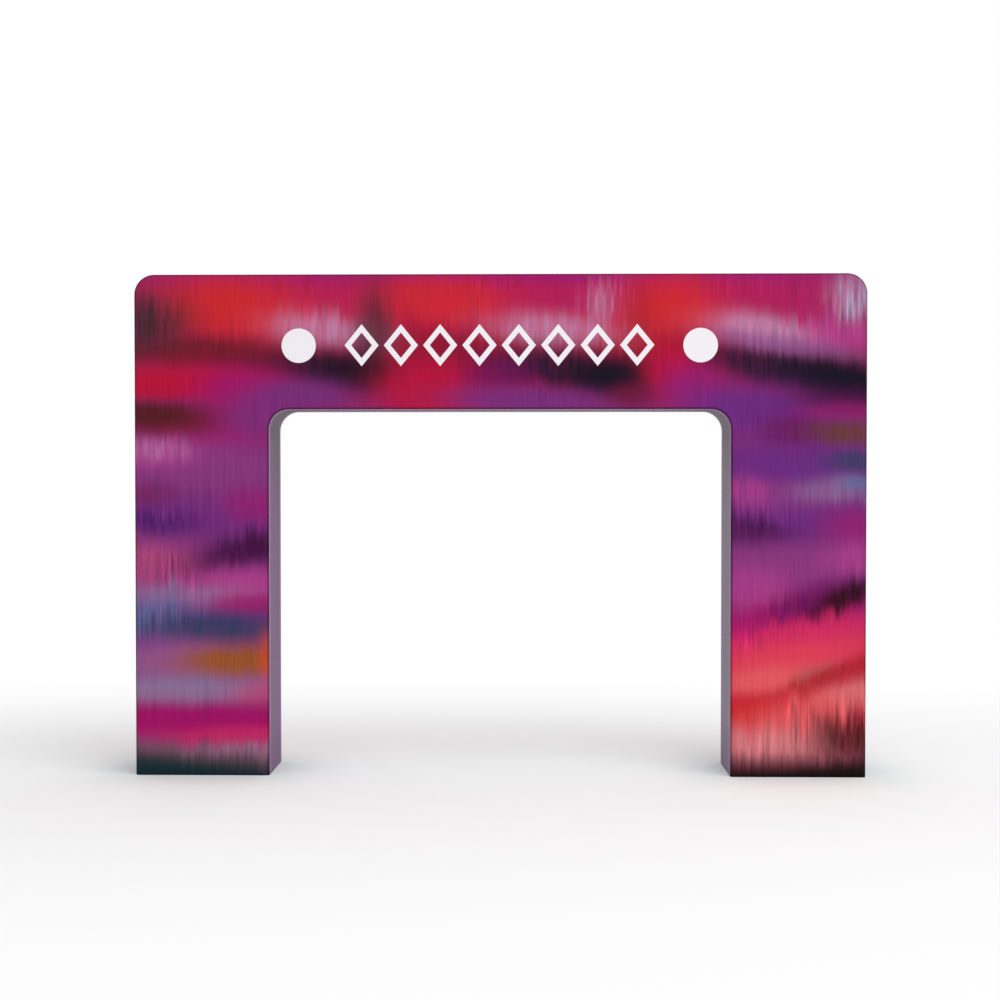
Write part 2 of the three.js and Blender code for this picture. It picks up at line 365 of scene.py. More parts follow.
# x, z, half width, half height, most
streakedPlaces = [
    (1.88, 0.3, 0.5, 0.22, 2.3),
    (1.72, 1.0, 0.4, 0.14, 1.6),
    (1.55, 0.92, 0.28, 0.16, 2.5),
    (1.6, 1.55, 0.28, 0.2, 1.3),
    (2.05, 1.66, 0.22, 0.12, 1.6),
    (1.6, 2.05, 0.2, 0.1, 1.2),
    (-1.9, 1.26, 0.36, 0.16, 2.3),
    (-2.05, 0.9, 0.24, 0.14, 1.5),
    (-1.6, 1.42, 0.3, 0.12, 1.2),
    (-2.05, 1.52, 0.2, 0.12, 1.5),
    (-1.75, 0.16, 0.36, 0.1, 1.0),
    (-2.05, 2.7, 0.2, 0.16, 1.2),
    (-0.98, 2.72, 0.24, 0.14, 1.2),
    (-1.2, 2.94, 0.3, 0.06, 1.2),
    (0.0, 2.93, 0.2, 0.06, 1.3),
    (0.6, 2.86, 0.13, 0.14, 2.4),
    (0.25, 2.34, 0.18, 0.12, 1.0),
    (1.6, 2.92, 0.34, 0.07, 1.3),
    (1.92, 2.68, 0.24, 0.1, 1.7),
    (2.06, 2.84, 0.16, 0.14, 2.5),
]

# dye, x, z, half width, half height, slope, combed, threaded, strength
patches = [
    # beam, from the top down
    ("crimson", 0.0, 2.6, 2.6, 0.4, 0.0, 0.02, 0.0, 1.0),
    ("hotMagenta", 0.0, 2.9, 2.6, 0.17, 0.0, 0.02, 0.0, 1.0),
    ("magenta", 0.0, 3.02, 2.6, 0.07, 0.0, 0.02, 0.0, 0.9),
    ("red", -1.62, 2.8, 0.5, 0.2, -0.03, 0.04, 0.1, 1.0),
    ("red", -0.36, 2.84, 0.44, 0.15, -0.02, 0.04, 0.1, 0.9),
    ("red", 1.02, 2.76, 0.31, 0.25, 0.0, 0.04, 0.1, 1.0),
    ("darkRed", 0.82, 2.66, 0.12, 0.26, 0.0, 0.04, 0.2, 0.7),
    ("brownRed", -1.82, 2.54, 0.56, 0.1, 0.0, 0.05, 0.1, 0.95),
    ("wine", -0.4, 2.58, 0.42, 0.11, 0.0, 0.05, 0.2, 0.6),
    ("wine", -1.5, 2.47, 0.42, 0.06, 0.0, 0.04, 0.1, 0.6),
    ("paleMauve", -1.04, 2.66, 0.31, 0.11, -0.1, 0.06, 0.3, 0.75),
    ("paleMauve", 0.32, 2.66, 0.36, 0.1, -0.08, 0.06, 0.3, 0.75),
    ("paleMauve", 0.62, 2.83, 0.12, 0.14, 0.0, 0.07, 0.8, 0.5),
    ("paleMauve", 1.6, 2.65, 0.34, 0.1, -0.16, 0.05, 0.15, 0.85),
    ("pink", 2.04, 2.64, 0.26, 0.11, -0.06, 0.05, 0.2, 0.8),
    ("paleBlue", 2.11, 2.86, 0.13, 0.13, 0.0, 0.06, 0.5, 0.7),
    ("smoke", -2.15, 2.71, 0.32, 0.19, 0.0, 0.05, 0.2, 0.95),
    ("smoke", -0.76, 2.64, 0.12, 0.28, 0.0, 0.05, 0.1, 0.8),
    ("navy", -1.02, 2.42, 0.44, 0.14, -0.1, 0.05, 0.1, 0.97),
    ("night", -0.88, 2.4, 0.25, 0.11, 0.0, 0.04, 0.0, 0.9),
    ("navy", 0.36, 2.44, 0.56, 0.14, -0.08, 0.05, 0.1, 0.97),
    ("night", 0.67, 2.37, 0.31, 0.14, 0.0, 0.03, 0.0, 1.0),
    ("navy", 1.64, 2.45, 0.62, 0.13, -0.16, 0.05, 0.1, 0.98),
    ("mauve", 1.74, 2.56, 0.48, 0.06, -0.16, 0.05, 0.2, 0.8),
    ("night", 2.04, 2.37, 0.44, 0.14, -0.1, 0.04, 0.0, 1.0),
    ("crimson", -2.0, 2.35, 0.52, 0.12, 0.0, 0.02, 0.0, 1.0),
    ("crimson", -0.42, 2.29, 0.31, 0.18, 0.0, 0.03, 0.0, 1.0),
    ("crimson", 1.01, 2.42, 0.15, 0.2, 0.0, 0.03, 0.0, 0.9),
    ("magenta", 1.16, 2.32, 0.18, 0.16, 0.0, 0.03, 0.0, 0.9),
    ("strongMagenta", -1.54, 2.3, 0.25, 0.14, 0.0, 0.03, 0.0, 0.9),
    ("purple", -1.19, 2.27, 0.32, 0.1, -0.04, 0.03, 0.0, 0.95),
    ("berry", 0.0, 2.39, 0.2, 0.11, 0.0, 0.04, 0.1, 0.7),
    ("purple", 0.2, 2.24, 0.52, 0.09, -0.04, 0.03, 0.0, 0.95),
    ("wine", 0.8, 2.27, 0.14, 0.08, 0.0, 0.03, 0.0, 0.7),
    ("violet", 1.5, 2.2, 0.44, 0.15, -0.08, 0.03, 0.0, 0.95),
    ("plum", 2.06, 2.25, 0.3, 0.08, 0.0, 0.05, 0.2, 0.8),
    # left leg
    ("strongMagenta", -1.74, 2.07, 0.6, 0.13, 0.0, 0.02, 0.0, 0.9),
    ("brownRed", -2.02, 2.11, 0.36, 0.1, 0.0, 0.03, 0.0, 0.95),
    ("brown", -2.1, 2.17, 0.3, 0.08, 0.0, 0.02, 0.0, 0.9),
    ("purple", -1.42, 2.15, 0.24, 0.14, 0.0, 0.03, 0.0, 0.8),
    ("rosePurple", -1.8, 1.84, 0.8, 0.18, 0.0, 0.03, 0.0, 0.9),
    ("pink", -2.06, 1.93, 0.26, 0.09, 0.0, 0.05, 0.2, 0.8),
    ("paleMauve", -2.06, 1.95, 0.2, 0.07, 0.0, 0.06, 0.7, 0.5),
    ("violet", -1.8, 1.54, 0.6, 0.15, 0.0, 0.02, 0.0, 0.3),
    ("wine", -2.1, 1.69, 0.18, 0.07, 0.0, 0.04, 0.2, 0.45),
    ("magenta", -1.46, 1.62, 0.2, 0.11, 0.0, 0.05, 0.2, 0.7),
    ("deepViolet", -2.06, 1.51, 0.26, 0.08, 0.0, 0.06, 0.3, 0.95),
    ("dustyPink", -2.06, 1.26, 0.3, 0.16, 0.0, 0.05, 0.1, 0.95),
    ("plum", -1.48, 1.36, 0.38, 0.11, 0.22, 0.06, 0.1, 1.0),
    ("pink", -1.62, 1.14, 0.52, 0.1, 0.06, 0.04, 0.0, 0.9),
    ("greyMauve", -1.92, 1.08, 0.38, 0.07, 0.0, 0.05, 0.3, 0.75),
    ("strongMagenta", -1.5, 1.03, 0.28, 0.06, 0.0, 0.03, 0.1, 0.7),
    ("slateBlue", -2.06, 0.95, 0.3, 0.13, 0.0, 0.06, 0.3, 0.8),
    ("slate", -1.7, 0.88, 0.46, 0.1, 0.0, 0.04, 0.1, 1.0),
    ("mauve", -2.0, 0.67, 0.46, 0.13, 0.0, 0.04, 0.0, 0.9),
    ("orange", -1.58, 0.68, 0.4, 0.11, 0.03, 0.04, 0.0, 1.0),
    ("brightOrange", -1.39, 0.7, 0.06, 0.15, 0.0, 0.04, 0.1, 0.6),
    ("greyMauve", -1.9, 0.5, 0.8, 0.1, 0.0, 0.03, 0.0, 1.0),
    ("rose", -1.4, 0.48, 0.2, 0.1, 0.0, 0.03, 0.0, 0.5),
    ("greyPink", -1.8, 0.08, 1.6, 0.16, 0.0, 0.02, 0.0, 1.0),
    ("strongMagenta", -1.8, 0.33, 1.6, 0.12, 0.0, 0.02, 0.0, 1.0),
    ("rose", -1.52, 0.24, 0.5, 0.06, 0.0, 0.04, 0.0, 0.7),
    ("paleMauve", -1.46, 0.14, 0.4, 0.05, 0.0, 0.05, 0.5, 0.35),
    ("ink", -1.95, 0.01, 1.6, 0.14, -0.08, 0.02, 0.0, 1.0),
    # right leg
    ("crimson", 1.8, 0.5, 1.4, 0.48, 0.05, 0.04, 0.0, 1.0),
    ("brown", 1.8, 0.02, 1.6, 0.18, 0.0, 0.04, 0.0, 1.0),
    ("berry", 1.76, 2.06, 0.22, 0.11, 0.0, 0.05, 0.2, 0.85),
    ("magenta", 2.06, 2.18, 0.26, 0.06, 0.0, 0.03, 0.2, 0.6),
    ("olive", 2.06, 2.05, 0.24, 0.08, 0.0, 0.05, 0.2, 0.95),
    ("violet", 1.76, 1.85, 0.6, 0.12, 0.0, 0.03, 0.0, 0.95),
    ("slate", 2.12, 1.88, 0.2, 0.07, 0.0, 0.03, 0.0, 0.8),
    ("pink", 1.48, 1.69, 0.18, 0.1, 0.0, 0.06, 0.4, 0.8),
    ("rosePurple", 1.78, 1.66, 0.26, 0.1, 0.0, 0.04, 0.0, 0.5),
    ("greyMauve", 2.02, 1.71, 0.26, 0.08, 0.0, 0.05, 0.3, 0.65),
    ("slateBlue", 2.14, 1.75, 0.13, 0.05, 0.0, 0.02, 0.1, 0.7),
    ("violet", 1.84, 1.5, 0.46, 0.12, 0.0, 0.03, 0.0, 0.7),
    ("plum", 1.46, 1.46, 0.28, 0.1, 0.0, 0.05, 0.2, 0.9),
    ("magenta", 2.1, 1.48, 0.2, 0.12, 0.0, 0.05, 0.2, 0.7),
    ("rosePurple", 1.76, 1.27, 0.7, 0.13, 0.0, 0.02, 0.0, 0.85),
    ("pink", 2.14, 1.3, 0.22, 0.11, 0.0, 0.05, 0.3, 0.8),
    ("pink", 1.52, 1.1, 0.26, 0.15, 0.0, 0.05, 0.2, 0.85),
    ("strongMagenta", 1.74, 0.97, 0.6, 0.1, 0.15, 0.04, 0.1, 0.9),
    ("berry", 1.84, 1.04, 0.26, 0.11, 0.36, 0.06, 0.2, 0.95),
    ("maroon", 2.08, 1.08, 0.28, 0.09, 0.4, 0.05, 0.1, 1.0),
    ("rose", 1.74, 0.84, 0.64, 0.1, 0.14, 0.05, 0.1, 1.0),
    ("redRose", 1.72, 0.7, 0.64, 0.12, 0.14, 0.04, 0.0, 1.0),
    ("coral", 1.58, 0.57, 0.36, 0.09, 0.14, 0.03, 0.0, 0.95),
    ("sand", 1.88, 0.61, 0.14, 0.06, 0.28, 0.04, 0.1, 0.6),
    ("darkRed", 1.96, 0.6, 0.36, 0.06, 0.34, 0.05, 0.2, 0.9),
    ("paleCoral", 2.08, 0.48, 0.26, 0.08, 0.28, 0.05, 0.2, 0.85),
    ("red", 1.52, 0.37, 0.34, 0.12, 0.12, 0.06, 0.2, 0.95),
    ("coral", 1.84, 0.38, 0.34, 0.12, 0.18, 0.06, 0.2, 0.95),
    ("paleCoral", 1.66, 0.19, 0.56, 0.12, 0.0, 0.05, 0.2, 0.95),
    ("brown", 2.13, 0.25, 0.3, 0.14, 0.06, 0.05, 0.1, 1.0),
    ("plum", 1.9, 0.1, 0.8, 0.06, 0.04, 0.05, 0.3, 0.4),
    ("soot", 1.8, -0.03, 1.6, 0.11, 0.08, 0.02, 0.0, 1.0),
]


def makePrintedCloth():
    material, tree, shader = newMaterial("printedCloth")
    place = addNode(tree, "ShaderNodeUVMap", uv_map="clothUV").outputs[0]
    drift = addNoise(tree, place, printDesign["driftScale"], 2.0, dimensions="2D")[1]
    wander = vectorMaths(tree, "MULTIPLY", vectorMaths(tree, "SUBTRACT", drift, (0.5, 0.5, 0.5)),
                         (2 * printDesign["drift"], printDesign["drift"], 0.0))
    wandered = addNode(tree, "ShaderNodeSeparateXYZ", {0: vectorMaths(tree, "ADD", place, wander)}).outputs
    streaked = printDesign["streaked"]
    for x, z, halfWidth, halfHeight, most in streakedPlaces:
        streaked = placeGroup(tree, streakedPlace, {
            "Round It": streaked, "Across": wandered[0], "Up": wandered[1], "X": x, "Z": z,
            "Half Width": halfWidth, "Half Height": halfHeight, "Most": most})["Streaked"]
    columns = placeGroup(tree, dyeColumns, {"Place": place, "Streaked": streaked,
                                            "Columns Per Metre": printDesign["columnsPerMetre"],
                                            "Column Length": printDesign["columnLength"]})
    shown = dyes[printDesign["ground"]]
    for dye, x, z, halfWidth, halfHeight, slope, combed, threaded, strength in patches:
        shown = placeGroup(tree, dyePatch, {
            "Under": shown, "Dye": dyes[dye], "Across": wandered[0], "Up": wandered[1],
            "Comb": columns["Comb"], "Threads": columns["Threads"], "X": x, "Z": z,
            "Half Width": halfWidth, "Half Height": halfHeight, "Slope": slope,
            "Combed": combed, "Threaded": threaded, "Strength": strength})["Colour"]
    knit = placeGroup(tree, warpKnit, {"Place": place})
    mottle = maths(tree, "MULTIPLY", maths(tree, "SUBTRACT", knit["Mottle"], 0.5), printDesign["mottle"])
    tone = maths(tree, "ADD", maths(tree, "ADD", columns["Shade"], 1.0), mottle)
    shown = scaleColour(tree, shown, tone)
    shown = mixColour(tree, whiteMarks(tree, place), shown, printDesign["white"])
    # Painted shade on the rounded edges where the cloth turns round the tubes, darker towards each seam.
    seam = addNode(tree, "ShaderNodeAttribute", attribute_name="seamDistance").outputs["Fac"]
    shown = scaleColour(tree, shown, ramp(tree, seam, *printDesign["paintedEdgeShade"]))
    tree.links.new(shown, shader.inputs["Base Color"])
    finishCloth(tree, shader, knit, printDesign)
    return material


# White discs at both ends of the beam and a row of outlined lozenges between them.
def whiteMarks(tree, place):
    disc, row = printDesign["discs"], printDesign["lozenges"]
    at = addNode(tree, "ShaderNodeSeparateXYZ", {0: place}).outputs
    side = maths(tree, "SUBTRACT", maths(tree, "ABSOLUTE", at[0]), disc["x"])
    fromDisc = vectorMaths(tree, "LENGTH", addNode(
        tree, "ShaderNodeCombineXYZ", {0: side, 1: maths(tree, "SUBTRACT", at[1], disc["z"])}).outputs[0])
    edge = printDesign["markEdge"]
    inDisc = ramp(tree, fromDisc, disc["radius"] - edge, disc["radius"] + edge, 1.0, 0.0)
    half = row["count"] * row["pitch"] / 2
    step = maths(tree, "DIVIDE", maths(tree, "ADD", at[0], half), row["pitch"])
    own = maths(tree, "MULTIPLY", maths(tree, "SUBTRACT", maths(tree, "FRACT", step), 0.5), row["pitch"])
    across = maths(tree, "DIVIDE", maths(tree, "ABSOLUTE", own), row["halfWidth"])
    up = maths(tree, "DIVIDE", maths(tree, "ABSOLUTE", maths(tree, "SUBTRACT", at[1], row["z"])),
               row["halfHeight"])
    steep = row["halfWidth"] * row["halfHeight"] / math.hypot(row["halfWidth"], row["halfHeight"])
    depth = maths(tree, "MULTIPLY", maths(tree, "SUBTRACT", 1.0, maths(tree, "ADD", across, up)), steep)
    line = maths(tree, "MULTIPLY", ramp(tree, depth, -edge, edge),
                 ramp(tree, depth, row["stroke"] - edge, row["stroke"] + edge, 1.0, 0.0))
    inRow = maths(tree, "LESS_THAN", maths(tree, "ABSOLUTE", at[0]), half)
    return maths(tree, "MAXIMUM", inDisc, maths(tree, "MULTIPLY", line, inRow))


# A share has two values and how much of its colour shows at each.
bandFinish = {
    "cloth": "806884",
    # Painted light: the right side of both bands is blended to a lighter grey, which lifts the right leg's
    # inner face where it faces away from the key light.
    "right": "8E8A90",
    "paintedLightRightShare": (-1.2, 1.2, 0.0, 0.7),
    "nearTop": "7E787C",
    "topShare": (1.6, 2.2, 0.0, 0.8),
    # A paler lilac edge beside each seam is part of the cloth's colour; under the beam it is widened as
    # painted light.
    "besideSeam": "B494B8",
    "seamShare": (0.2, 1.0, 0.8, 0.0),
    "seamReach": 0.05,
    # Painted light: under the beam the pale edge is widened to stand in for light bounced up from the floor.
    "paintedBounceReach": 0.19,  # the pale edge is broader under the beam
    "bendReach": 0.1,
    "foot": "6C5474",
    "footShare": (0.0, 0.4, 0.5, 0.0),
    "tone": (0.975, 1.025),
    "roughness": (0.74, 0.84),
    "bump": 0.3,
    "gloss": 0.12,
    "sheen": 0.02,
}


def makePlainCloth():
    material, tree, shader = newMaterial("plainCloth")
    place = addNode(tree, "ShaderNodeUVMap", uv_map="clothUV").outputs[0]
    knit = placeGroup(tree, warpKnit, {"Place": place})
    across = addNode(tree, "ShaderNodeSeparateXYZ", {0: place}).outputs[1]
    edge = maths(tree, "SUBTRACT", hoopY - arch["gap"], maths(tree, "ABSOLUTE", across))
    at = addNode(tree, "ShaderNodeSeparateXYZ",
                 {0: addNode(tree, "ShaderNodeTexCoord").outputs["Object"]}).outputs
    inWalkway = maths(tree, "LESS_THAN", at[2], arch["top"] - 0.5 * arch["beamHeight"])
    clear = innerHoop["halfWidth"] - innerHoop["bend"] - bandFinish["bendReach"]
    offLegs = ramp(tree, maths(tree, "ABSOLUTE", at[0]), clear, innerHoop["halfWidth"], 1.0, 0.0)
    # Painted light: under the beam, away from the legs, the pale seam edge reaches further, in place of
    # light bounced up from the floor.
    underBeam = maths(tree, "MULTIPLY", inWalkway, offLegs)
    reach = maths(tree, "MULTIPLY_ADD", underBeam, bandFinish["paintedBounceReach"] - bandFinish["seamReach"],
                  bandFinish["seamReach"])
    shown = dyeColour(bandFinish["cloth"])
    for value, share, dye in (
        # painted light on the right side of the bands
        (at[0], "paintedLightRightShare", "right"),
        (at[2], "topShare", "nearTop"),
        (maths(tree, "DIVIDE", edge, reach), "seamShare", "besideSeam"),
        (at[2], "footShare", "foot"),
    ):
        shown = mixColour(tree, ramp(tree, value, *bandFinish[share]), shown, dyeColour(bandFinish[dye]))
    tone = ramp(tree, knit["Mottle"], *knitLook["mottled"], *bandFinish["tone"])
    tree.links.new(scaleColour(tree, shown, tone), shader.inputs["Base Color"])
    finishCloth(tree, shader, knit, bandFinish)
    return material


threadLook = {"twistScale": 900.0, "twist": (0.35, 0.6), "shaded": 0.6, "roughness": 0.6}


# Twisted sewing thread.
def makeThread(name, text):
    material, tree, shader = newMaterial(name)
    place = addNode(tree, "ShaderNodeTexCoord").outputs["Object"]
    twist = ramp(tree, addNoise(tree, place, threadLook["twistScale"], 2.0)[0], *threadLook["twist"])
    plain = dyeColour(text)
    dark = tuple(threadLook["shaded"] * c for c in plain[:3]) + (1.0,)
    tree.links.new(mixColour(tree, twist, dark, plain), shader.inputs["Base Color"])
    shader.inputs["Roughness"].default_value = threadLook["roughness"]
    return material


tubeLook = {
    "bright": "B9BBBF",
    "dull": "A4A6AA",
    "grainScale": 260.0,
    "rubScale": 9.0,
    "rubbed": (0.4, 0.65),
    "roughness": (0.35, 0.7, 0.3, 0.46),
    "bump": (0.15, 0.0002),
}


# Drawn aluminium with a fine grain and a few dull rubbed places.
def makeTubeMetal():
    material, tree, shader = newMaterial("drawnAluminium")
    place = addNode(tree, "ShaderNodeTexCoord").outputs["Object"]
    rubbed = addNoise(tree, place, tubeLook["rubScale"], 3.0)[0]
    tone = mixColour(tree, ramp(tree, rubbed, *tubeLook["rubbed"]), dyeColour(tubeLook["bright"]),
                     dyeColour(tubeLook["dull"]))
    tree.links.new(tone, shader.inputs["Base Color"])
    tree.links.new(ramp(tree, rubbed, *tubeLook["roughness"]), shader.inputs["Roughness"])
    addBump(tree, shader, addNoise(tree, place, tubeLook["grainScale"], 3.0)[0], *tubeLook["bump"])
    shader.inputs["Metallic"].default_value = 1.0
    return material


plateLook = {
    "coat": "2C2D2F",
    "worn": "5A5B5D",
    "peelScale": 420.0,
    "scuffScale": 24.0,
    "scuffed": (0.6, 0.72),
    "roughness": (0.4, 0.7, 0.5, 0.68),
    "bump": (0.3, 0.0003),
}


# Dark grey powder coat with its fine orange peel and light scuffs.
def makePlateCoat():
    material, tree, shader = newMaterial("powderCoat")
    place = addNode(tree, "ShaderNodeTexCoord").outputs["Object"]
    scuffs = addNoise(tree, place, plateLook["scuffScale"], 5.0, 0.7)[0]
    tone = mixColour(tree, ramp(tree, scuffs, *plateLook["scuffed"]), dyeColour(plateLook["coat"]),
                     dyeColour(plateLook["worn"]))
    tree.links.new(tone, shader.inputs["Base Color"])
    tree.links.new(ramp(tree, scuffs, *plateLook["roughness"]), shader.inputs["Roughness"])
    addBump(tree, shader, addNoise(tree, place, plateLook["peelScale"], 2.0)[0], *plateLook["bump"])
    return material


printedCloth = makePrintedCloth()
plainCloth = makePlainCloth()
darkThread = makeThread("darkThread", "2A1226")
lilacThread = makeThread("lilacThread", "A88CB0")
tubeMetal = makeTubeMetal()
plateCoat = makePlateCoat()
print("materials made")


# Cloth panels

panel = {
    "legRows": 60,
    "bendRows": 12,
    "beamRows": 84,
    "wrapColumns": 8,
    # shares of the way from the outer tube to the inner one
    "flatColumns": (0.012, 0.03, 0.06, 0.12, 0.2, 0.3, 0.4, 0.5, 0.6, 0.7, 0.8, 0.88, 0.94, 0.97, 0.988),
    "seamDip": 0.0004,
    "seamDipReach": 0.003,
    "seamNear": 0.1,  # how far from a seam its distance is still told apart
    "cutSize": (4.30, 2.95),
    "cutArea": 6.92,
}


# Points along a hoop's centre line, from the left foot to the right one, with the angle
# of the direction that leads away from the middle of the arch.
def hoopStations(hoop, legRows, bendRows, beamRows):
    halfWidth, top, bend = hoop["halfWidth"], hoop["top"], hoop["bend"]
    half = [(-halfWidth, (top - bend) * i / legRows, math.pi) for i in range(legRows)]
    for i in range(bendRows):
        angle = math.pi - i / bendRows * math.pi / 2
        half.append((bend - halfWidth + bend * math.cos(angle), top - bend + bend * math.sin(angle), angle))
    beam = [((bend - halfWidth) * (1 - 2 * i / beamRows), top, math.pi / 2) for i in range(beamRows + 1)]
    return half + beam + [(-x, z, math.pi - angle) for x, z, angle in reversed(half)]


def clothPoint(hoop, station, radius, turn, face=-1):
    x, z, angle = station
    sideways = hoop["clothSide"] * radius * math.cos(turn)
    return Vector((x + sideways * math.cos(angle), face * (hoopY + radius * math.sin(turn)),
                   z + sideways * math.sin(angle)))


# The cloth laid flat: as far from the hoop's line as it runs round the tube.
def flatPlace(hoop, station, turn):
    x, z, angle = station
    out = hoop["clothSide"] * arch["wrap"] * (math.pi / 2 - turn)
    return x + out * math.cos(angle), z + out * math.sin(angle)


def linkObject(name, data):
    made = bpy.data.objects.new(name, data)
    bpy.context.scene.collection.objects.link(made)
    return made


def meshFrom(name, bm):
    mesh = bpy.data.meshes.new(name)
    bm.to_mesh(mesh)
    bm.free()
    return mesh


def makePanel(name, turned):
    rows = [hoopStations(hoop, panel["legRows"], panel["bendRows"], panel["beamRows"])
            for hoop in (outerHoop, innerHoop)]
    turns = [i / panel["wrapColumns"] * math.pi / 2 for i in range(panel["wrapColumns"] + 1)]
    bm = bmesh.new()
    uvLayer = bm.loops.layers.uv.new("clothUV")
    distance = bm.verts.layers.float.new("seamDistance")
    flatAt = {}

    def addPoint(place, flat, fromSeam):
        vert = bm.verts.new((-place.x, -place.y, place.z) if turned else place)
        vert[distance] = min(fromSeam, panel["seamNear"])
        flatAt[vert] = flat
        return vert

    def wrapped(hoop, station, thin, order):
        made = []
        for turn in order:
            fromSeam = arch["wrap"] * turn
            dip = panel["seamDip"] * math.exp(-(fromSeam / panel["seamDipReach"]) ** 2)
            made.append(addPoint(clothPoint(hoop, station, arch["wrap"] - thin - dip, turn),
                                 flatPlace(hoop, station, turn), fromSeam))
        return made

    def strip(outer, inner, thin):
        made = wrapped(outerHoop, outer, thin, turns)
        ends = [clothPoint(outerHoop, outer, arch["wrap"] - thin, math.pi / 2),
                clothPoint(innerHoop, inner, arch["wrap"] - thin, math.pi / 2)]
        wide = (ends[1] - ends[0]).length
        for share in panel["flatColumns"]:
            place = ends[0].lerp(ends[1], share)
            fromSeam = arch["wrap"] * math.pi / 2 + wide * min(share, 1 - share)
            made.append(addPoint(place, (place.x, place.z), fromSeam))
        return made + wrapped(innerHoop, inner, thin, turns[::-1])

    loops = []
    for outer, inner in zip(*rows):
        loops.append(strip(outer, inner, 0.0) + strip(outer, inner, arch["cloth"])[::-1])
    count = len(loops[0])
    for before, after in zip(loops, loops[1:]):
        for i in range(count):
            j = (i + 1) % count
            bm.faces.new((before[i], before[j], after[j], after[i]))
    for ring in (loops[0], loops[-1]):
        for i in range(count // 2 - 1):
            bm.faces.new((ring[i], ring[i + 1], ring[count - 2 - i], ring[count - 1 - i]))
    bmesh.ops.recalc_face_normals(bm, faces=bm.faces)
    for face in bm.faces:
        for loop in face.loops:
            loop[uvLayer].uv = flatAt[loop.vert]
    mesh = meshFrom(name, bm)
    mesh.materials.append(printedCloth)
    for polygon in mesh.polygons:
        polygon.use_smooth = True
    return linkObject(name, mesh)


frontPanel = makePanel("frontPanel", False)
backPanel = makePanel("backPanel", True)
print("panels made")


# Cloth bands, by Geometry Nodes: a strip laid along a hoop's line and pulled in at both seams.

band = {
    "rowLength": 0.012,
    "columns": 17,
    "bendPoints": 24,
    "seamDip": 0.0004,
    "seamDipReach": 0.003,
    "outer": {"cutSize": (0.408, 10.05), "cutArea": None},
    "inner": {"cutSize": (0.408, 6.90), "cutArea": None},
}


def setInputs(modifier, values):
    for item in modifier.node_group.interface.items_tree:
        if item.item_type == "SOCKET" and item.in_out == "INPUT" and item.name in values:
            modifier[item.identifier] = values[item.name]


